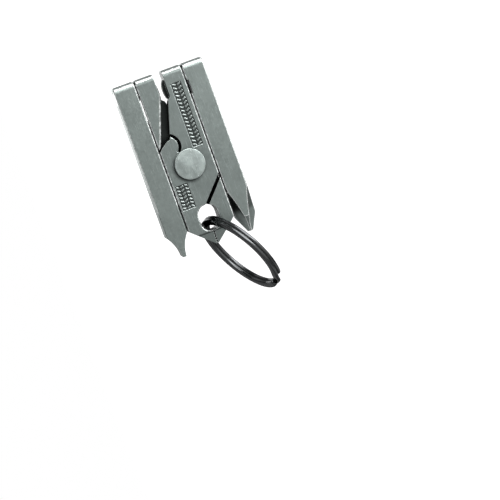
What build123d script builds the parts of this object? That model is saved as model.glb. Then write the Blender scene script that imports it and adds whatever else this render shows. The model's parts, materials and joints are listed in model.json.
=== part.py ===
from build123d import *
import math
import os

# Key-ring multi tool: folding pliers whose two handles are also screwdrivers.
#
# Frame: the closed tool stands on the long edge of its cross-head handle. +X runs along the
# tool to its hinge end, -Y is the front face, +Z is up across the width. The origin lies on
# the surface it stands on, straight below the plier pivot.

# --- driving dimensions (mm) -------------------------------------------------
thickness = 6.4              # quarter-inch square bar stock
half_t = thickness / 2
hinge_end = 27.1             # pivot to the hinge end
tip_end = -24.1              # pivot to the screwdriver tips
jaw_tip = -23.9              # pivot to the nose of the jaws
half_width = 13.3            # half the width across both handles
block_half = 6.85            # half the width of the plier block
side_gap = 0.35              # block to handle
end_round = 1.6              # rounding of the hinge end, front and back
edge_break = 0.25

# plier levers
lap_radius = 8.95            # half-lap disc
shoulder_radius = 9.45       # arc of the other lever around the disc
lap_clearance = 0.04         # between the two laps
front_throat = 1.2           # front shank's inner edge at the hinge end, from the centre line
rear_throat = 1.5            # the same for the rear shank
front_lobe = 1.15            # how far each crimping lobe stands out into the throat
rear_lobe = 0.5
slope_top = 19.8             # where a shank's inner edge starts to slope outwards
slope_foot = (6.0, 7.3)      # where the slope meets the shoulder arc
slope_bevel = 0.5
shank_foot = 5.0             # lowest point of the shank's own layer, inside the shoulder arc
web_top = (0.3, 18.8)        # half-thickness web beside the throat
web_foot = (-2.92, 8.46)
hook_slot = ((-3.0, 9.6), (-1.0, 7.4), (-1.9, 4.1))    # relief slot, centre line
hook_width = 0.9
slit_outer = (block_half, -5.75)     # cutter slit, centre line
slit_inner = (0.8, -12.35)
slit_width = 1.05
slit_depth = 2.9
slit_gap = 0.08              # between the two cutting edges
slit_landing = 1.2           # straight stretch at the slit's inner end
nose_shoulder = -18.0
nose_bevel_start = -19.6
nose_half_t = 1.5            # half thickness at the nose
nose_point = 0.35            # half width of the nose's tip
jaw_gap = 0.06
jaw_line_width = 0.5         # groove that marks the line between the jaws
jaw_line_depth = 0.25
hole_centre = -16.07
hole_width = 5.6
hole_length = 7.45
hole_bevel = 0.3
teeth = 5
tooth_start = 0.75           # first tooth's distance from the tip
tooth_pitch = 0.68
tooth_depth = 0.25
crimp_centre = 21.65
crimp_half_length = 2.95
crimp_half_t = 1.0

# recessed panels with plain ribs: centre and size across and along the tool, columns, rows
long_panel = ((3.95, 13.5), (3.0, 18.8), 2, 17)
short_panel = ((-4.4, -8.25), (3.8, 7.2), 3, 7)
panel_depth = 0.22
rib_width = 0.42
rib_reach = 0.74             # length of a rib, as part of its column's width
rib_slant = 28

# pivot
post_radius = 2.0
rivet_head_radius = 4.42
rivet_head_height = 0.75
rivet_edge = 0.5             # rounding of the head
post_chamfer = 0.2
dome_radius = 45.0           # of the rivet head's face
cap_bevel = 0.3
cap_lift = 0.06              # the cap's face below the end of the post
running_clearance = 0.04
washer_radius = 3.4
washer_thickness = 0.36

# handle hinges
hinge_at = 23.9
pin_radius = 1.2
pin_head_radius = 2.1
pin_head_height = 0.7
pin_foot = 2.5               # distance of the pin's inner end from the centre line
hinge_washer_radius = 2.7
hinge_washer_thickness = 0.29

# handles
bar_inner = block_half + side_gap
bar_width = half_width - bar_inner
bar_middle = bar_inner + bar_width / 2
blade_shoulder = -17.6
blade_waist = (1.2, -20.7)   # half width of the flat blade, and where
flat_tip_half = 0.5
flute_radius = 2.4           # of the round cutter that makes each flute
flute_core = 0.75            # bottom of a flute to the bar's axis, at the tip
flute_slope = 15.7           # degrees by which a flute rises from the tip to the bar's corner
cross_shoulder = -19.3
cross_tip_half = 0.8
relief_depth = 0.5           # nail nicks below the hinges, open to the front
relief_reach = 5.2
lever_relief = (15.0, 23.0)
handle_relief = (18.3, 22.4)

# split key ring
ring_radius = 12.9           # middle of the wire
wire_radial = 2.0
wire_axial = 1.15            # one turn; two lie side by side
wire_corner = 0.38
ring_droop = 26.3            # below the tool's axis, far end on the surface
ring_tilt = 15.5
ring_hang = (-0.2, -17.3)    # wire's centre in the hole
ring_step_at = 38.0          # end of the step from one turn to the other
ring_step = 28.0

# Planes: local X is across the tool, local Y is towards the hinge end.
pivot = (0, 0, half_width)
front_face = Plane(origin=pivot, x_dir=(0, 0, -1), z_dir=(0, -1, 0))
rear_face = Plane(origin=pivot, x_dir=(0, 0, 1), z_dir=(0, 1, 0))
# Side planes: local X is towards the hinge end, local Z is across the tool, outwards.
right_side = Plane(origin=pivot, x_dir=(1, 0, 0), z_dir=(0, 0, -1))
left_side = Plane(origin=pivot, x_dir=(1, 0, 0), z_dir=(0, 0, 1))


def side_plane(face):
    """The side plane of the half of the tool that a face plane's +X points to."""
    return right_side if face is front_face else left_side


def is_at(edge, face, across):
    """True for an edge that runs along the tool at this distance from the centre line."""
    middle = face.to_local_coords(edge.center())
    return abs(abs(middle.X) - across) < 1e-3


def is_middle(edge, face, middle):
    """True for an edge of the outer face whose centre is at this place, seen square on."""
    centre = face.to_local_coords(edge.center())
    on_face = abs(abs(centre.Z) - half_t) < 1e-3
    return on_face and abs(centre.X - middle[0]) < 0.8 and abs(centre.Y - middle[1]) < 1.5


def v_groove(face, start, end, width, depth):
    """V-shaped cutter between two places on the face, a little longer than their distance."""
    first = face.from_local_coords(Vector(*start))
    last = face.from_local_coords(Vector(*end))
    direction = (last - first).normalized()
    outward = (face.z_dir - direction * face.z_dir.dot(direction)).normalized()
    section = Plane(origin=(first + last) * 0.5, x_dir=outward.cross(direction), z_dir=direction)
    with BuildPart() as groove:
        with BuildSketch(section):
            with BuildLine():
                Polyline((-width / 2, 0.01), (width / 2, 0.01), (0, -depth), close=True)
            make_face()
        extrude(amount=(last - first).length / 2 + 0.6, both=True)
    return groove.part


def lever(face, throat, lobe):
    """One plier lever. Its shank is on the face plane's +X side, its jaw on the -X side.

    The lap layer (towards the face) reaches past the centre line; the other layer stops
    at the shoulder arc and the slit, where the second lever's lap takes over.
    """
    side = side_plane(face)
    gap = slit_gap / 2
    gap_along_side = gap * 2 ** 0.5     # the slit meets the side at about 45 degrees
    nose_corner = (-jaw_gap / 2 - nose_point, jaw_tip)
    with BuildPart() as blank:
        # lap layer
        with BuildSketch(face.offset(lap_clearance / 2)):
            Circle(lap_radius)
            Rectangle(2 * block_half, 2 * lap_radius, mode=Mode.INTERSECT)
            with BuildLine():
                Polyline(
                    (0, 0), (block_half, 0), (block_half, hinge_end), (throat, hinge_end),
                    (throat, slope_top), web_top, web_foot, close=True,
                )
            make_face()
            with BuildLine():
                Polyline(
                    (-block_half, 0), (-block_half, nose_shoulder), nose_corner,
                    (-jaw_gap / 2, jaw_tip), (-jaw_gap / 2, hole_centre),
                    (slit_inner[0] - gap, slit_inner[1] + gap - slit_landing),
                    (slit_inner[0] - gap, slit_inner[1] + gap),
                    (slit_outer[0], slit_outer[1] + gap_along_side), (block_half, 0), close=True,
                )
            make_face()
            # relief slot that runs from the throat to the rivet
            with BuildLine() as hook:
                ThreePointArc(*hook_slot)
            trace(hook.line, line_width=hook_width, mode=Mode.SUBTRACT)
        extrude(amount=half_t - lap_clearance / 2)
        # the other layer: shank and jaw only
        with BuildSketch(face.offset(-half_t)):
            with BuildLine():
                Polyline(
                    (block_half, hinge_end), (throat, hinge_end), (throat, slope_top),
                    slope_foot, (block_half, shank_foot), close=True,
                )
            make_face()
            with BuildLine():
                Polyline(
                    (-block_half, slit_outer[1] - gap_along_side), (-block_half, nose_shoulder),
                    nose_corner, (-jaw_gap / 2, jaw_tip), (-jaw_gap / 2, hole_centre),
                    (-slit_inner[0] - gap, slit_inner[1] - gap - slit_landing),
                    (-slit_inner[0] - gap, slit_inner[1] - gap), close=True,
                )
            make_face()
            Circle(shoulder_radius, mode=Mode.SUBTRACT)
        extrude(amount=half_t + lap_clearance / 2)
        # rounded hinge end and bevelled nose
        with BuildSketch(side):
            with BuildLine():
                Polyline(
                    (jaw_tip - 0.01, -nose_half_t), (nose_bevel_start, -half_t), (hinge_end, -half_t),
                    (hinge_end, half_t), (nose_bevel_start, half_t), (jaw_tip - 0.01, nose_half_t),
                    close=True,
                )
            make_face()
            fillet([v for v in vertices() if v.X > 0], radius=end_round)
        extrude(amount=half_width, both=True, mode=Mode.INTERSECT)
        # broken side edges, and the bevel along the sloping edge of the shank
        at_face = [e for e in blank.edges() if abs(abs(e.center().Y) - half_t) < 1e-3]
        sides = [e for e in at_face if is_at(e, face, across=block_half)]
        chamfer(sides, length=edge_break)
        slope_middle = ((throat + slope_foot[0]) / 2, (slope_top + slope_foot[1]) / 2)
        slopes = [e for e in blank.edges() if is_middle(e, face, slope_middle)]
        chamfer(slopes, length=slope_bevel)
        # crimping lobe, recessed at mid thickness
        with BuildSketch(face):
            with Locations((throat, crimp_centre)):
                Ellipse(lobe, crimp_half_length)
            with Locations((throat + lobe, crimp_centre)):
                Rectangle(2 * lobe, 2 * crimp_half_length, mode=Mode.SUBTRACT)
        extrude(amount=crimp_half_t, both=True)
        # key-ring hole
        with BuildSketch(face):
            with Locations((0, hole_centre)):
                SlotOverall(hole_length, hole_width, rotation=90)
        extrude(amount=half_t, both=True, mode=Mode.SUBTRACT)
        # on both faces: cutter slit, countersunk hole and the line between the jaws
        slit_line = ((*slit_outer, half_t), (*slit_inner, half_t))
        jaw_line = ((0, nose_bevel_start, half_t), (0, jaw_tip, nose_half_t))
        for side_face in (front_face, rear_face):
            add(v_groove(side_face, *slit_line, slit_width, slit_depth), mode=Mode.SUBTRACT)
            add(v_groove(side_face, *jaw_line, jaw_line_width, jaw_line_depth), mode=Mode.SUBTRACT)
            with BuildSketch(side_face.offset(half_t)):
                with Locations((0, hole_centre)):
                    SlotOverall(hole_length + 2 * hole_bevel, hole_width + 2 * hole_bevel, rotation=90)
            extrude(amount=-hole_bevel, taper=45, mode=Mode.SUBTRACT)
        # gripping teeth
        tooth_side = 2 ** 0.5 * tooth_depth
        with BuildSketch(face):
            for i in range(teeth):
                with Locations((-jaw_gap / 2, jaw_tip + tooth_start + i * tooth_pitch)):
                    Rectangle(tooth_side, tooth_side, rotation=45)
        extrude(amount=half_t, both=True, mode=Mode.SUBTRACT)
    return blank.part


def panel(face, layout):
    """A shallow recess with rows of raised ribs left standing, slanted in a herringbone."""
    centre, size, columns, rows = layout
    across = size[0] / columns
    along = size[1] / rows
    with BuildPart() as recess:
        with BuildSketch(face.offset(half_t)):
            with Locations(centre):
                Rectangle(*size)
            for column in range(columns):
                for row in range(rows):
                    x = centre[0] + (column - (columns - 1) / 2) * across
                    y = centre[1] + (row - (rows - 1) / 2) * along
                    with Locations((x, y)):
                        slant = rib_slant if column % 2 else -rib_slant
                        Rectangle(rib_reach * across, rib_width, rotation=slant, mode=Mode.SUBTRACT)
        extrude(amount=-panel_depth)
    return recess.part


def finished_lever(face, throat, lobe, bore_radius):
    """A lever with its panels, pivot bore and blind bore for the hinge pin."""
    with BuildPart() as piece:
        add(lever(face, throat, lobe))
        add(panel(face, long_panel), mode=Mode.SUBTRACT)
        add(panel(face, short_panel), mode=Mode.SUBTRACT)
        with BuildSketch(face):
            Circle(bore_radius)
        extrude(amount=half_t, both=True, mode=Mode.SUBTRACT)
        with BuildSketch(side_plane(face).offset(pin_foot - 0.05)):
            with Locations((hinge_at, 0)):
                Circle(pin_radius)
        extrude(amount=block_half, mode=Mode.SUBTRACT)
    return piece.part


def side_relief(face, start, span, depth):
    """A shallow nail nick in one side of the tool, open to the front."""
    with BuildPart() as pocket:
        with BuildSketch(side_plane(face).offset(start)):
            with Locations(((span[0] + span[1]) / 2, half_t - relief_reach / 2)):
                Rectangle(span[1] - span[0], relief_reach)
        extrude(amount=depth)
    return pocket.part


def handle_bar(face):
    """The square bar that each handle is made from, with its hinge bore and countersink."""
    with BuildPart() as bar:
        with BuildSketch(side_plane(face).offset(bar_inner)):
            with BuildLine():
                Polyline(
                    (tip_end, -half_t), (hinge_end, -half_t), (hinge_end, half_t), (tip_end, half_t),
                    close=True,
                )
            make_face()
            fillet([v for v in vertices() if v.X > 0], radius=end_round)
        extrude(amount=bar_width)
        chamfer(bar.edges().filter_by(Axis.X), length=edge_break)
        with BuildSketch(side_plane(face).offset(bar_inner)):
            with Locations((hinge_at, 0)):
                Circle(pin_radius + running_clearance)
        extrude(amount=bar_width, mode=Mode.SUBTRACT)
        with BuildSketch(side_plane(face).offset(half_width)):
            with Locations((hinge_at, 0)):
                Circle(pin_head_radius + running_clearance)
        extrude(amount=-(pin_head_height + running_clearance), mode=Mode.SUBTRACT)
    return bar.part


def hinge_pin(face):
    """Cross pin, pressed into the lever, with a flat head let into the handle."""
    outer = half_width - 0.03
    with BuildPart() as pin:
        with BuildSketch(side_plane(face).offset(pin_foot)):
            with Locations((hinge_at, 0)):
                Circle(pin_radius)
        extrude(amount=outer - pin_foot)
        with BuildSketch(side_plane(face).offset(outer - pin_head_height)):
            with Locations((hinge_at, 0)):
                Circle(pin_head_radius)
        extrude(amount=pin_head_height)
    return pin.part


def hinge_washer(face):
    """Spring washer in the gap between lever and handle."""
    with BuildPart() as washer:
        with BuildSketch(side_plane(face).offset(block_half + 0.01)):
            with Locations((hinge_at, 0)):
                Circle(hinge_washer_radius)
                Circle(pin_radius + 0.02, mode=Mode.SUBTRACT)
        extrude(amount=hinge_washer_thickness)
    return washer.part


os.makedirs("parts", exist_ok=True)

# --- plier levers ------------------------------------------------------------
with BuildPart() as front_lever:
    add(finished_lever(front_face, front_throat, front_lobe, post_radius))
front_lever.part.label = "front_lever"
export_step(front_lever.part, "parts/front_lever.step")

with BuildPart() as rear_lever:
    add(finished_lever(rear_face, rear_throat, rear_lobe, post_radius + running_clearance))
    # seat for the pivot washer, in the inner face of the lap
    with BuildSketch(front_face.offset(-lap_clearance / 2)):
        Circle(washer_radius + 0.1)
    extrude(amount=-(washer_thickness + 0.05), mode=Mode.SUBTRACT)
    add(side_relief(rear_face, block_half, lever_relief, -relief_depth), mode=Mode.SUBTRACT)
rear_lever.part.label = "rear_lever"
export_step(rear_lever.part, "parts/rear_lever.step")

# --- pivot -------------------------------------------------------------------
pivot_axis = Axis(pivot, (0, -1, 0))
rivet_top = half_t + rivet_head_height
with BuildPart() as pivot_rivet:
    with BuildSketch(front_face.offset(-rivet_top)):
        Circle(post_radius)
    extrude(amount=rivet_top + half_t)
    chamfer(pivot_rivet.edges().sort_by(Axis.Y)[-1], length=post_chamfer)
    with BuildSketch(front_face.offset(half_t)):
        Circle(rivet_head_radius)
    extrude(amount=rivet_head_height)
    fillet(pivot_rivet.edges().sort_by(Axis.Y)[0], radius=rivet_edge)
    # shallow dome, highest at the middle of the head
    dome_centre = front_face.from_local_coords(Vector(0, 0, rivet_top - dome_radius))
    with Locations(Plane(origin=dome_centre, x_dir=(0, 1, 0), z_dir=(1, 0, 0)).location):
        Sphere(dome_radius, mode=Mode.INTERSECT)
pivot_rivet.part.label = "pivot_rivet"
export_step(pivot_rivet.part, "parts/pivot_rivet.step")

with BuildPart() as pivot_rivet_cap:
    cap_seat = -half_t - running_clearance / 2
    with BuildSketch(right_side):
        with BuildLine():
            Polyline(
                (post_radius, -rivet_top), (post_radius, cap_seat), (rivet_head_radius, cap_seat),
                (rivet_head_radius, -rivet_top + cap_bevel),
                (rivet_head_radius - cap_bevel, -rivet_top + cap_lift), close=True,
            )
        make_face()
    revolve(axis=pivot_axis)
pivot_rivet_cap.part.label = "pivot_rivet_cap"
export_step(pivot_rivet_cap.part, "parts/pivot_rivet_cap.step")

with BuildPart() as pivot_spring_washer:
    with BuildSketch(front_face.offset(0.01)):
        Circle(washer_radius)
        Circle(post_radius + 0.03, mode=Mode.SUBTRACT)
    extrude(amount=-washer_thickness)
pivot_spring_washer.part.label = "pivot_spring_washer"
export_step(pivot_spring_washer.part, "parts/pivot_spring_washer.step")

# --- handles -----------------------------------------------------------------
with BuildPart() as flat_driver_handle:
    add(handle_bar(rear_face))
    outer_tip = (bar_middle + flat_tip_half, tip_end)
    inner_tip = (bar_middle - flat_tip_half, tip_end)
    outer_shoulder = (half_width, blade_shoulder)
    inner_shoulder = (bar_inner, blade_shoulder)
    with BuildSketch(rear_face):
        with BuildLine():
            Line(inner_tip, outer_tip)
            ThreePointArc(outer_tip, (bar_middle + blade_waist[0], blade_waist[1]), outer_shoulder)
            Polyline(outer_shoulder, (half_width, hinge_end), (bar_inner, hinge_end), inner_shoulder)
            ThreePointArc(inner_shoulder, (bar_middle - blade_waist[0], blade_waist[1]), inner_tip)
        make_face()
    extrude(amount=half_t, both=True, mode=Mode.INTERSECT)
flat_driver_handle.part.label = "flat_driver_handle"
export_step(flat_driver_handle.part, "parts/flat_driver_handle.step")


def flute(across, forwards):
    """Round cutter that rises from the tip to one corner of the cross-head handle's bar."""
    tip = front_face.from_local_coords(Vector(bar_middle, tip_end, 0))
    corner = Vector(0, -forwards, -across).normalized()
    slope = math.radians(flute_slope)
    course = Vector(1, 0, 0) * math.cos(slope) + corner * math.sin(slope)
    with BuildPart() as cutter:
        with BuildSketch(Plane(origin=tip + corner * (flute_core + flute_radius), z_dir=course)):
            Circle(flute_radius)
        extrude(amount=-tip_end, both=True)
    return cutter.part


def tapered_outline(plane, middle, half):
    """The bar seen square on, with its cross-head tip's taper."""
    with BuildPart() as outline:
        with BuildSketch(plane):
            with BuildLine():
                Polyline(
                    (middle - cross_tip_half, tip_end), (middle + cross_tip_half, tip_end),
                    (middle + half, cross_shoulder), (middle + half, hinge_end), (middle - half, hinge_end),
                    (middle - half, cross_shoulder), close=True,
                )
            make_face()
        extrude(amount=half_width, both=True)
    return outline.part


# local X is towards the viewer, local Y towards the hinge end
edge_on = Plane(origin=pivot, x_dir=(0, -1, 0), z_dir=(0, 0, 1))
with BuildPart() as phillips_driver_handle:
    add(handle_bar(front_face))
    add(side_relief(front_face, bar_inner, handle_relief, relief_depth), mode=Mode.SUBTRACT)
    add(tapered_outline(front_face, bar_middle, bar_width / 2), mode=Mode.INTERSECT)
    add(tapered_outline(edge_on, 0, half_t), mode=Mode.INTERSECT)
    for across in (1, -1):
        for forwards in (1, -1):
            add(flute(across, forwards), mode=Mode.SUBTRACT)
phillips_driver_handle.part.label = "phillips_driver_handle"
export_step(phillips_driver_handle.part, "parts/phillips_driver_handle.step")

# --- handle hinges -----------------------------------------------------------
with BuildPart() as flat_handle_hinge_pin:
    add(hinge_pin(rear_face))
flat_handle_hinge_pin.part.label = "flat_handle_hinge_pin"
export_step(flat_handle_hinge_pin.part, "parts/flat_handle_hinge_pin.step")

with BuildPart() as phillips_handle_hinge_pin:
    add(hinge_pin(front_face))
phillips_handle_hinge_pin.part.label = "phillips_handle_hinge_pin"
export_step(phillips_handle_hinge_pin.part, "parts/phillips_handle_hinge_pin.step")

with BuildPart() as flat_handle_spring_washer:
    add(hinge_washer(rear_face))
flat_handle_spring_washer.part.label = "flat_handle_spring_washer"
export_step(flat_handle_spring_washer.part, "parts/flat_handle_spring_washer.step")

with BuildPart() as phillips_handle_spring_washer:
    add(hinge_washer(front_face))
phillips_handle_spring_washer.part.label = "phillips_handle_spring_washer"
export_step(phillips_handle_spring_washer.part, "parts/phillips_handle_spring_washer.step")

# --- split key ring ----------------------------------------------------------
droop = math.radians(ring_droop)
tilt = math.radians(ring_tilt)
outwards = Vector(-math.cos(droop), 0, -math.sin(droop))
forwards = Vector(math.sin(tilt) * math.sin(droop), -math.cos(tilt), -math.sin(tilt) * math.cos(droop))
ring_normal = outwards.cross(forwards)
wire_in_hole = front_face.from_local_coords(Vector(*ring_hang))
ring_centre = wire_in_hole + outwards * ring_radius


def wire_section(angle):
    """Plane across the wire: local X is radial, local Y is along the ring's axis."""
    turn = math.radians(angle)
    radial = outwards * math.cos(turn) + forwards * math.sin(turn)
    tangent = forwards * math.cos(turn) - outwards * math.sin(turn)
    return Plane(origin=ring_centre + radial * ring_radius, x_dir=radial, z_dir=tangent)


with BuildPart() as split_key_ring:
    # two turns side by side, each open over the step
    for turn_side in (wire_axial / 2, -wire_axial / 2):
        with BuildSketch(wire_section(ring_step_at)):
            with Locations((0, turn_side)):
                RectangleRounded(wire_radial, wire_axial, wire_corner)
        revolve(axis=Axis(ring_centre, ring_normal), revolution_arc=360 - ring_step)
    # the step, where the wire crosses from one turn to the other
    for part_way in (0, 0.25, 0.5, 0.75, 1):
        shift = wire_axial * (0.5 - (3 - 2 * part_way) * part_way ** 2)
        with BuildSketch(wire_section(ring_step_at - ring_step * (1 - part_way))):
            with Locations((0, shift)):
                RectangleRounded(wire_radial, wire_axial, wire_corner)
    loft()
split_key_ring.part.label = "split_key_ring"
export_step(split_key_ring.part, "parts/split_key_ring.step")
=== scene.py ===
"""Looks of the key-ring multi tool: camera, light, steels and the wound split ring."""
import json
import math

import bpy
from mathutils import Matrix, Vector


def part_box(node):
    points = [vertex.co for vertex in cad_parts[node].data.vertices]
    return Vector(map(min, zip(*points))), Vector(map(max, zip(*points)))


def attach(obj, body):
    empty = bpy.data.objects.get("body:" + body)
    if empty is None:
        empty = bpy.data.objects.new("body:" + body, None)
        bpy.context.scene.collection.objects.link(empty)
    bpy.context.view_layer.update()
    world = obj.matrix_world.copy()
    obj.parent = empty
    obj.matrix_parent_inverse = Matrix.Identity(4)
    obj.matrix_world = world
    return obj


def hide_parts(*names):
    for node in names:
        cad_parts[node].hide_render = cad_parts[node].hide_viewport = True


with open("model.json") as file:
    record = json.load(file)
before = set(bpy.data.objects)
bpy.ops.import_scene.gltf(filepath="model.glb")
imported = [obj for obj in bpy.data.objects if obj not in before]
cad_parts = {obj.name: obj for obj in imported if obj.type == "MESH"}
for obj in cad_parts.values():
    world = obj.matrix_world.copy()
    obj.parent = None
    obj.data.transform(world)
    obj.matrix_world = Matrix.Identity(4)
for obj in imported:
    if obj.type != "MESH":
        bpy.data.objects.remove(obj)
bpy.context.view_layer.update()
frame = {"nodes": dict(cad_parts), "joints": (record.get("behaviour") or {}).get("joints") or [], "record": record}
nodes = frame["nodes"]
joints = {joint["name"]: joint for joint in frame["joints"]}
mounts = {mount["name"]: mount for mount in frame["record"]["mounts"]}
MM = 0.001

# --- places taken from the frame -----------------------------------------------
pivot = Vector(joints["jaw_pivot"]["pos_m"])
wire_in_hole = Vector(joints["ring_swing"]["pos_m"])
ring_centre = Vector(mounts["key_ring_loop"]["pos_m"])
ring_normal = Vector(mounts["key_ring_loop"]["axis"]).normalized()
ring_radius = (ring_centre - wire_in_hole).length     # middle of the wire
wire_radial = 2.0 * MM
half_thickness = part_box("front_lever")[1].y
tip_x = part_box("phillips_driver_handle")[0].x
end_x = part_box("front_lever")[1].x
nose_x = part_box("front_lever")[0].x + 4.4 * MM    # where the jaws' bevelled nose begins
rivet_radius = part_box("pivot_rivet")[1].x - pivot.x
cross_head_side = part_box("phillips_driver_handle")[1].z

# --- camera --------------------------------------------------------------------
frame_width = 0.1404              # width of the picture at the tool's front face
camera_distance = 0.62
camera_tilt = math.radians(8)     # seen a little from the hinge end
camera_rise = math.radians(7.5)   # and a little from above
camera_roll = math.radians(19.8)
pivot_in_frame = (-0.12, 0.172)   # from the middle, in frame widths, right and up


def camera():
    """A long lens looking at the front face, turned so that the tool leans to the left."""
    data = bpy.data.cameras.new("camera")
    data.lens_unit = "FOV"
    data.angle = 2 * math.atan(frame_width / 2 / camera_distance)
    data.clip_start = 0.01
    data.clip_end = 20
    back = Vector((math.sin(camera_tilt), -math.cos(camera_tilt), math.tan(camera_rise))).normalized()
    along = (Vector((1, 0, 0)) - back * back.x).normalized()
    up = along * math.cos(camera_roll) + along.cross(back) * math.sin(camera_roll)
    right = up.cross(back)
    face = pivot - Vector((0, half_thickness, 0))
    aim = face - (right * pivot_in_frame[0] + up * pivot_in_frame[1]) * frame_width
    thing = bpy.data.objects.new("camera", data)
    bpy.context.scene.collection.objects.link(thing)
    turn = Matrix((right, up, back)).transposed().to_4x4()
    thing.matrix_world = Matrix.Translation(aim + back * camera_distance) @ turn
    bpy.context.scene.camera = thing


# --- light ---------------------------------------------------------------------
bright_side = Vector((0.45, -0.45, -0.77)).normalized()   # hinge end, front and the tool's right
studio_strength = 2.0
studio_ramp = (                   # from the side away from bright_side to bright_side itself
    (0.0, 0.32), (0.16, 0.24), (0.3, 0.03), (0.47, 0.3), (0.6, 0.55),
    (0.72, 0.14), (0.79, 0.25), (0.87, 0.62), (0.95, 0.75),
)

area_lights = (                   # name, direction from the pivot, distance, size, power
    ("key", (0.45, -0.75, -0.75), 0.4, 0.16, 0.3),
    ("end_strip", (0.72, -0.64, -0.55), 0.25, 0.24, 0.95),
    ("back_soft", (0.2, 1.0, 0.3), 0.5, 0.3, 0.6),
)
floor_radius = 1.5
floor_glow = 0.97


def area_light(name, direction, distance, size, power):
    """A soft square light that looks at the pivot from this direction."""
    data = bpy.data.lights.new(name, "AREA")
    data.shape = "SQUARE"
    data.size = size
    data.energy = power
    thing = bpy.data.objects.new(name, data)
    bpy.context.scene.collection.objects.link(thing)
    towards = Vector(direction).normalized()
    thing.location = pivot + towards * distance
    thing.rotation_euler = towards.to_track_quat("Z", "Y").to_euler()
    thing.visible_camera = False


def world_light():
    """White behind the tool; light and gloss see a studio with one bright side."""
    world = bpy.data.worlds.new("studio")
    bpy.context.scene.world = world
    world.use_nodes = True
    tree = world.node_tree
    tree.nodes.clear()
    link = tree.links.new
    output = tree.nodes.new("ShaderNodeOutputWorld")
    mix = tree.nodes.new("ShaderNodeMixShader")
    seen = tree.nodes.new("ShaderNodeBackground")
    seen.inputs["Color"].default_value = (1, 1, 1, 1)
    studio = tree.nodes.new("ShaderNodeBackground")
    studio.inputs["Strength"].default_value = studio_strength
    place = tree.nodes.new("ShaderNodeTexCoord")
    towards = tree.nodes.new("ShaderNodeVectorMath")
    towards.operation = "DOT_PRODUCT"
    towards.inputs[1].default_value = bright_side
    level = tree.nodes.new("ShaderNodeMapRange")
    level.inputs["From Min"].default_value = -1
    ramp_node = tree.nodes.new("ShaderNodeValToRGB")
    ramp = ramp_node.color_ramp
    for position, _ in studio_ramp[2:]:
        ramp.elements.new(position)
    for element, (position, grey) in zip(ramp.elements, studio_ramp):
        element.position = position
        element.color = (grey, grey, grey, 1)
    rays = tree.nodes.new("ShaderNodeLightPath")
    link(place.outputs["Generated"], towards.inputs[0])
    link(towards.outputs["Value"], level.inputs["Value"])
    link(level.outputs["Result"], ramp_node.inputs["Fac"])
    link(ramp_node.outputs["Color"], studio.inputs["Color"])
    link(rays.outputs["Is Camera Ray"], mix.inputs["Fac"])
    link(studio.outputs[0], mix.inputs[1])
    link(seen.outputs[0], mix.inputs[2])
    link(mix.outputs[0], output.inputs["Surface"])


def floor():
    """A pale glowing sheet just below the ring's lowest swing, which doesn't light the tool."""
    lowest_ring = wire_in_hole.z - 2 * ring_radius - wire_radial
    bpy.ops.mesh.primitive_circle_add(
        vertices=96, radius=floor_radius, fill_type="NGON", location=(0, 0, lowest_ring)
    )
    sheet = bpy.context.object
    sheet.name = "floor"
    pale = bpy.data.materials.new("floor_pale")
    pale.use_nodes = True
    shader = pale.node_tree.nodes["Principled BSDF"]
    shader.inputs["Base Color"].default_value = (0.5, 0.5, 0.5, 1)
    shader.inputs["Roughness"].default_value = 1.0
    shader.inputs["Specular IOR Level"].default_value = 0.0
    shader.inputs["Emission Color"].default_value = (1, 1, 1, 1)
    shader.inputs["Emission Strength"].default_value = floor_glow
    sheet.data.materials.append(pale)
    sheet.visible_shadow = False
    sheet.visible_glossy = False
    sheet.visible_diffuse = False


# --- steels --------------------------------------------------------------------
body_grey = (0.235, 0.27, 0.258)
lever_grey = (0.206, 0.237, 0.227)
rivet_grey = (0.37, 0.42, 0.405)
pin_grey = (0.5, 0.53, 0.52)
washer_grey = (0.25, 0.26, 0.26)
# painted reflection: the polished ring made dark to stand in for the dark surroundings it reflects
ring_painted_dark = (0.07, 0.073, 0.075)
highlight_steel = (0.93, 0.96, 0.95)      # painted highlight on the bevels and on the rims of the flutes
rubbed_and_highlit_steel = (0.7, 0.77, 0.75)        # rubbed edges, also painted highlight lines along them
palest = 0.95                         # no shade of a colour is paler than this

# how much darker or paler than the metal's own colour each mark is
speck_shade = 0.6
wipe_shade = 0.55
scratch_shade = 1.9
# painted shade on the levers' inner walls
wall_shade = 0.22
panel_shade = 0.15
# painted shade on the flutes above the ground part
flute_shade = 0.1
# painted shadow cast by the rivet's head
rivet_shadow_shade = 0.1

# sizes of noise in mm, how it is stretched and turned, and the values at which marks show
patch_size = 6
speck_size = 0.9
speck_amount = 0.16
wipe_size = 1.7
wipe_lines = (((0.5, 1, 1), 0.5), ((1, 1, 0.45), 0.2))            # stretch, turn
scratch_size = 0.12
scratch_stretch = (0.03, 1, 1)
scratch_amount = 0.5
scratch_lines = ((0.5, 0.66), (-0.9, 0.68), (1.35, 0.67))         # turn, value at which it shows
grind_size = 0.16
grind_stretch = (1, 0.06, 0.06)
rub_size = 0.8
uneven_size = 0.5
middle_noise = (0.3, 0.7)             # most of a noise's values are between these

# cosine between the rounded and the true surface, and how far a surface faces the front or rear
edge_radius = 0.26 * MM
edge_facing = (0.88, 0.997)
rim_facing = (0.99, 0.9993)
flute_facing = (0.95, 0.985)
bevel_facing = ((0.56, 0.66), (0.86, 0.92))       # a 45 degree bevel lies between the two

# places of the finish, of painted shade and of painted highlight, in metres
bar_bevels_from = tip_x + 14.5 * MM               # above the tips of the bars
bar_ground_to = tip_x + 6 * MM
wall_depth = (half_thickness - 0.9 * MM, half_thickness - 0.7 * MM)
panel_floor = half_thickness - 0.22 * MM
panel_brim = half_thickness - 0.01 * MM
# painted shade in corners and gaps: how far the occlusion test looks, and which of its values darken
corner_shade_reach = 2.0 * MM
corner_shade_range = (0.35, 0.95)
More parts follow.
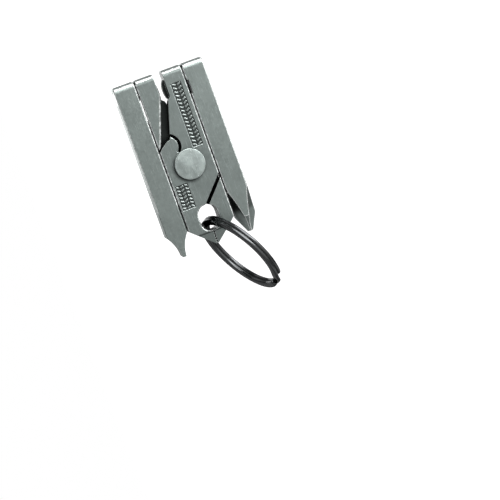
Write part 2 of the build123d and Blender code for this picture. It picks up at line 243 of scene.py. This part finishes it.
# painted shadow beside the rivet's head: its width and the side it falls on
rivet_shadow_width = 1.1 * MM
rivet_shadow_side = Vector((-0.65, 0, 0.75)).normalized()   # towards the jaws and the flat driver


def shade(colour, factor):
    """The colour made darker or paler by this factor."""
    return tuple(min(c * factor, palest) for c in colour)


class Steel:
    """A metal material under construction: its places, small helpers, kinds of wear, and its painted shade and
    highlights.
    """

    def __init__(self, name):
        self.material = bpy.data.materials.new(name)
        self.material.use_nodes = True
        self.tree = self.material.node_tree
        self.shader = self.tree.nodes["Principled BSDF"]
        self.shader.inputs["Metallic"].default_value = 1.0
        where = self.make("ShaderNodeTexCoord")
        self.place = where.outputs["Object"]
        split = self.make("ShaderNodeSeparateXYZ")
        self.link(self.place, split.inputs[0])
        self.along = split.outputs["X"]
        self.across = split.outputs["Z"]
        self.depth = self.math("ABSOLUTE", split.outputs["Y"])
        split = self.make("ShaderNodeSeparateXYZ")
        self.link(where.outputs["Normal"], split.inputs[0])
        self.facing = self.math("ABSOLUTE", split.outputs["Y"])
        bevel = self.make("ShaderNodeBevel", samples=6)
        bevel.inputs["Radius"].default_value = edge_radius
        self.rounded = bevel.outputs["Normal"]
        shape = self.make("ShaderNodeNewGeometry")
        self.edge = self.dot(self.rounded, shape.outputs["Normal"])     # 1 away from edges

    def make(self, kind, **settings):
        """A new node with these settings."""
        node = self.tree.nodes.new(kind)
        for name, value in settings.items():
            setattr(node, name, value)
        return node

    def link(self, start, end):
        """Join an output to an input."""
        self.tree.links.new(start, end)

    def feed(self, socket, value):
        """Put a number, a colour or another node's output into a socket."""
        if isinstance(value, bpy.types.NodeSocket):
            self.link(value, socket)
        elif isinstance(value, tuple):
            socket.default_value = (*value, 1)
        else:
            socket.default_value = value

    def math(self, operation, first, second=0.0):
        """The result of one Math node."""
        node = self.make("ShaderNodeMath", operation=operation)
        self.feed(node.inputs[0], first)
        self.feed(node.inputs[1], second)
        return node.outputs[0]

    def dot(self, first, second):
        """The dot product of two vectors, the second a Vector or an output."""
        node = self.make("ShaderNodeVectorMath", operation="DOT_PRODUCT")
        self.link(first, node.inputs[0])
        self.feed(node.inputs[1], second)
        return node.outputs["Value"]

    def overlap(self, *masks):
        """The product of some masks."""
        product = masks[0]
        for mask in masks[1:]:
            product = self.math("MULTIPLY", product, mask)
        return product

    def noise(self, size, detail=3, stretch=(1, 1, 1), turn=0.0):
        """Noise with patches about this many mm across, divided by stretch along each axis.
        turn swings its grid about Y."""
        mapping = self.make("ShaderNodeMapping")
        mapping.inputs["Scale"].default_value = stretch
        mapping.inputs["Rotation"].default_value = (0, turn, 0)
        texture = self.make("ShaderNodeTexNoise")
        texture.inputs["Scale"].default_value = 1 / (size * MM)
        texture.inputs["Detail"].default_value = detail
        self.link(self.place, mapping.inputs["Vector"])
        self.link(mapping.outputs["Vector"], texture.inputs["Vector"])
        return texture.outputs["Fac"]

    def remap(self, value, start, end, low=0.0, high=1.0):
        """Turn the range from start to end into low to high, and hold it at both ends."""
        node = self.make("ShaderNodeMapRange")
        for name, number in zip(("From Min", "From Max", "To Min", "To Max"), (start, end, low, high)):
            node.inputs[name].default_value = number
        self.link(value, node.inputs["Value"])
        return node.outputs["Result"]

    def blend(self, amount, first, second, kind="MIX"):
        """This amount of the second colour on the first."""
        node = self.make("ShaderNodeMix", data_type="RGBA", blend_type=kind)
        self.feed(node.inputs["Factor"], amount)
        self.feed(node.inputs["A"], first)
        self.feed(node.inputs["B"], second)
        return node.outputs["Result"]

    def bump(self, height, strength, distance, below):
        """The normal below with a relief on it; distance is in mm."""
        node = self.make("ShaderNodeBump")
        node.inputs["Strength"].default_value = strength
        node.inputs["Distance"].default_value = distance * MM
        self.link(height, node.inputs["Height"])
        self.link(below, node.inputs["Normal"])
        return node.outputs["Normal"]

    def handled(self, colour, mottle, smear):
        """The colour with broad patches, specks, wiped stretches and fine scratches."""
        patches = self.remap(self.noise(patch_size, 4), *middle_noise)
        tone = self.blend(patches, shade(colour, 1 - mottle), shade(colour, 1 + mottle))
        specks = self.remap(self.noise(speck_size, 5), 0.35, 0.75, 0, speck_amount)
        tone = self.blend(specks, tone, shade(colour, speck_shade))
        for stretch, turn in wipe_lines:
            wiped = self.remap(self.noise(wipe_size, 4, stretch, turn), 0.42, 0.7, 0, smear)
            tone = self.blend(wiped, tone, shade(colour, wipe_shade))
        for turn, shows in scratch_lines:
            scratches = self.noise(scratch_size, 2, scratch_stretch, turn)
            line = self.remap(scratches, shows, shows + 0.05, 0, scratch_amount)
            tone = self.blend(line, tone, shade(colour, scratch_shade))
        return tone

    def painted_corner_shade(self, tone, corner_shade):
        """The colour darkened by painted shade in corners and gaps."""
        hollow = self.make("ShaderNodeAmbientOcclusion", samples=8)
        hollow.inputs["Distance"].default_value = corner_shade_reach
        shade_amount = self.remap(hollow.outputs["AO"], *corner_shade_range, 1 - corner_shade, 1.0)
        shade_tone = self.make("ShaderNodeCombineXYZ")
        for socket in shade_tone.inputs:
            self.link(shade_amount, socket)
        return self.blend(1.0, tone, shade_tone.outputs[0], "MULTIPLY")

    def inner_walls(self):
        """Where a lever's sides are away from the two faces, from the nose to the hinge end; painted shade goes
        there.
        """
        deep = self.remap(self.depth, *wall_depth, 1, 0)
        behind_nose = self.remap(self.along, nose_x, nose_x + 0.5 * MM)
        before_end = self.remap(self.along, end_x - 0.35 * MM, end_x - 0.2 * MM, 1, 0)
        return self.overlap(deep, behind_nose, before_end)

    def panel_floors(self):
        """The floors of the recessed panels and, less and less, the sides of their ribs."""
        low = self.remap(self.depth, panel_floor - 0.04 * MM, panel_floor - 0.02 * MM)
        high = self.remap(self.depth, panel_floor + 0.04 * MM, panel_brim, 1, 0)
        uneven = self.remap(self.noise(uneven_size, 4), *middle_noise, 0.7, 1.0)
        return self.overlap(low, high, uneven)

    def rivet_shadow(self):
        """A painted shadow: a crescent at one side of the rivet's head."""
        offset = self.make("ShaderNodeCombineXYZ")
        self.link(self.math("SUBTRACT", self.along, pivot.x), offset.inputs["X"])
        self.link(self.math("SUBTRACT", self.across, pivot.z), offset.inputs["Z"])
        away = self.make("ShaderNodeVectorMath", operation="LENGTH")
        self.link(offset.outputs[0], away.inputs[0])
        distance = away.outputs["Value"]
        turned = self.math("DIVIDE", self.dot(offset.outputs[0], rivet_shadow_side), distance)
        near = self.remap(distance, rivet_radius, rivet_radius + rivet_shadow_width, 1, 0)
        return self.overlap(near, self.remap(turned, 0.1, 0.8))

    def fluted_tip(self, below_z, below_x):
        """The tip of the bar that is on the lower side, below this Z and X."""
        lower_bar = self.remap(self.across, below_z, below_z + 0.1 * MM, 1, 0)
        tip = self.remap(self.along, below_x - MM, below_x, 1, 0)
        return self.overlap(lower_bar, tip)

    def bevels(self, above_x):
        """The 45 degree bevels above this X."""
        rising, falling = bevel_facing
        slanted = self.overlap(self.remap(self.facing, *rising), self.remap(self.facing, *falling, 1, 0))
        return self.overlap(slanted, self.remap(self.along, above_x - MM, above_x))

    def relief(self, grain, lines, bump, ground):
        """Soft unevenness, then the grain, then the grinder's marks across the tip."""
        normal = self.bump(self.noise(3, 2), 0.22, 0.05, self.rounded)
        normal = self.bump(self.noise(grain, 4, lines), bump, 0.02, normal)
        if ground is not None:
            marks = self.noise(grind_size, 3, grind_stretch)
            fresh = self.remap(self.along, ground, ground + 2 * MM, 1.0, 0.0)
            normal = self.bump(self.overlap(marks, fresh), 0.35, 0.04, normal)
        return normal


def steel(name, colour, roughness, grain=0.1, lines=(1, 1, 1), mottle=0.07, bump=0.12, wear_and_highlight=0.9,
          smear=0.0, corner_shade=0.8, edge_tint=1.0, dark_inside=False, bevels_from=None, ground=None,
          fluted=None):
    """Satin steel. grain is the bump's size in mm and lines its stretch; mottle is how uneven
    the colour is; wear_and_highlight brightens the edges, as rubbed metal and as painted highlight
    lines; smear is how strongly hammering and wiping have marked the surface; corner_shade is how
    much painted shade darkens corners and gaps; edge_tint dims the gloss at grazing angles.
    dark_inside puts painted shade on a lever's inner sides and a painted shadow beside the rivet,
    and a dark finish on the floors of its panels. Bevels get a painted highlight above the X of
    bevels_from, and the tip is ground below the X of ground; the bar below the Z of fluted has
    flutes in its tip, with a painted highlight on their rims and painted shade above the ground part."""
    made = Steel(name)
    tone = made.handled(colour, mottle, smear)
    broken = made.remap(made.noise(rub_size, 4), 0.35, 0.6, 0.35, 1.0)
    # brighter edges: partly rubbed metal, partly painted highlight lines
    rubbed_and_highlit = made.overlap(made.remap(made.edge, *edge_facing, wear_and_highlight, 0.0), broken)
    if fluted is not None:
        tip = made.fluted_tip(fluted, bevels_from)
        hollowed = made.overlap(made.remap(made.facing, *flute_facing, 1, 0), tip)
        flute_painted_shade = made.overlap(hollowed, made.remap(made.along, ground, ground + MM, 0, 0.6))
        # painted shade on the flutes above the ground part of the tip
        tone = made.blend(flute_painted_shade, tone, shade(colour, flute_shade))
    if dark_inside:
        # painted shade on a lever's inner sides, in its slots and gaps
        tone = made.blend(made.inner_walls(), tone, shade(colour, wall_shade))
    # painted shade darkens corners and gaps
    tone = made.painted_corner_shade(tone, corner_shade)
    if dark_inside:
        # painted shadow cast by the rivet's head onto the lever
        tone = made.blend(made.rivet_shadow(), tone, shade(colour, rivet_shadow_shade))
    # rubbed metal and painted highlight lines along the edges
    tone = made.blend(rubbed_and_highlit, tone, rubbed_and_highlit_steel)
    if dark_inside:
        tone = made.blend(made.panel_floors(), tone, shade(colour, panel_shade))
    if fluted is not None:
        # painted highlight along the rims of the flutes
        rim_highlight = made.overlap(made.remap(made.edge, *rim_facing, 1, 0), tip)
        tone = made.blend(rim_highlight, tone, highlight_steel)
    rough = made.noise(uneven_size, 4, lines)
    rough = made.remap(rough, *middle_noise, roughness * 0.85, roughness * 1.15)
    rough = made.math("SUBTRACT", rough, made.math("MULTIPLY", rubbed_and_highlit, roughness * 0.35))
    if bevels_from is not None:
        # painted highlight on the surfaces that slope about 45 degrees to the faces
        bevel_highlight = made.overlap(made.bevels(bevels_from), broken)
        tone = made.blend(bevel_highlight, tone, highlight_steel)
        rough = made.math("ADD", rough, made.math("MULTIPLY", bevel_highlight, 0.15))
    made.link(tone, made.shader.inputs["Base Color"])
    made.link(rough, made.shader.inputs["Roughness"])
    made.link(made.relief(grain, lines, bump, ground), made.shader.inputs["Normal"])
    made.feed(made.shader.inputs["Specular Tint"], (edge_tint,) * 3)
    return made.material


def steels():
    """The materials by the record's slot names."""
    return {
        "lever_steel": steel("lever_steel", lever_grey, 0.42, dark_inside=True, bevels_from=tip_x),
        "handle_steel": steel("handle_steel", body_grey, 0.4, bevels_from=bar_bevels_from,
                              ground=bar_ground_to, fluted=cross_head_side),
        "rivet_steel": steel("rivet_steel", rivet_grey, 0.52, grain=0.3, lines=(0.2, 1, 1),
                             mottle=0.14, bump=0.3, smear=0.65, corner_shade=0.3),
        "pin_steel": steel("pin_steel", pin_grey, 0.3, grain=0.2),
        "washer_steel": steel("washer_steel", washer_grey, 0.45),
        "ring_steel": steel("ring_steel", ring_painted_dark, 0.13, grain=0.4, mottle=0.1, bump=0.06,
                            wear_and_highlight=0.15, corner_shade=0.9, edge_tint=0.6),
    }


def dress(node, material):
    """Give a CAD node one material over its whole surface."""
    slots = nodes[node].material_slots
    for slot in slots:
        slot.material = material
    if not slots:
        nodes[node].data.materials.append(material)


# --- split key ring ------------------------------------------------------------
wire_axial = 1.14 * MM            # one turn; two lie side by side
wire_corner = 0.4 * MM
step_start = 10                   # degrees round the ring where the wire changes turns
step_end = 38
end_taper = 5                     # degrees over which each end of the wire is ground down
end_size = 0.86                   # of the wire's section at its very end
turns = 2
stations = 460                    # along the wire
corner_points = 6


def wire_outline():
    """Points round the wire's section, a rounded rectangle."""
    points = []
    for corner in range(4):
        side = math.radians(45 + 90 * corner)
        out = 1 if math.cos(side) > 0 else -1
        up = 1 if math.sin(side) > 0 else -1
        middle = (out * (wire_radial / 2 - wire_corner), up * (wire_axial / 2 - wire_corner))
        for part in range(corner_points):
            angle = math.radians(90 * (corner + part / (corner_points - 1)))
            across = middle[0] + wire_corner * math.cos(angle)
            points.append((across, middle[1] + wire_corner * math.sin(angle)))
    return points


def split_ring(material):
    """The wire wound twice round, stepping from one turn to the other."""
    outwards = (ring_centre - wire_in_hole).normalized()
    forwards = ring_normal.cross(outwards)
    outline = wire_outline()
    first = step_end
    last = step_start + 360 * turns
    stops = [first + (last - first) * i / stations for i in range(stations + 1)]
    points = []
    for stop in stops:
        turned = min(max((stop - step_start - 360) / (step_end - step_start), 0), 1)
        shift = wire_axial * (0.5 - (3 - 2 * turned) * turned ** 2)
        radial = outwards * math.cos(math.radians(stop)) + forwards * math.sin(math.radians(stop))
        end = min(stop - first, last - stop) / end_taper
        size = 1 if end > 1 else end_size + (1 - end_size) * math.sqrt(max(end * (2 - end), 0))
        for out, up in outline:
            sideways = ring_normal * (shift + up * size)
            points.append(ring_centre + radial * (ring_radius + out * size) - sideways)
    count = len(outline)
    faces = []
    for start in range(0, len(points) - count, count):
        for i in range(count):
            j = (i + 1) % count
            faces.append((start + i, start + j, start + count + j, start + count + i))
    faces.append(tuple(reversed(range(count))))
    faces.append(tuple(range(len(points) - count, len(points))))
    mesh = bpy.data.meshes.new("split_ring_wire")
    mesh.from_pydata(points, [], faces)
    mesh.validate()
    mesh.update()
    mesh.shade_smooth()
    mesh.materials.append(material)
    ring = bpy.data.objects.new("split_ring_wire", mesh)
    bpy.context.scene.collection.objects.link(ring)
    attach(ring, "key_ring")
    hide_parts("split_key_ring")


camera()
world_light()
floor()
for light in area_lights:
    area_light(*light)
bpy.context.scene.view_settings.view_transform = "Standard"

materials = steels()
for part in frame["record"]["subparts"]:
    dress(part["node"], materials[part["material_slot"]])
split_ring(materials["ring_steel"])
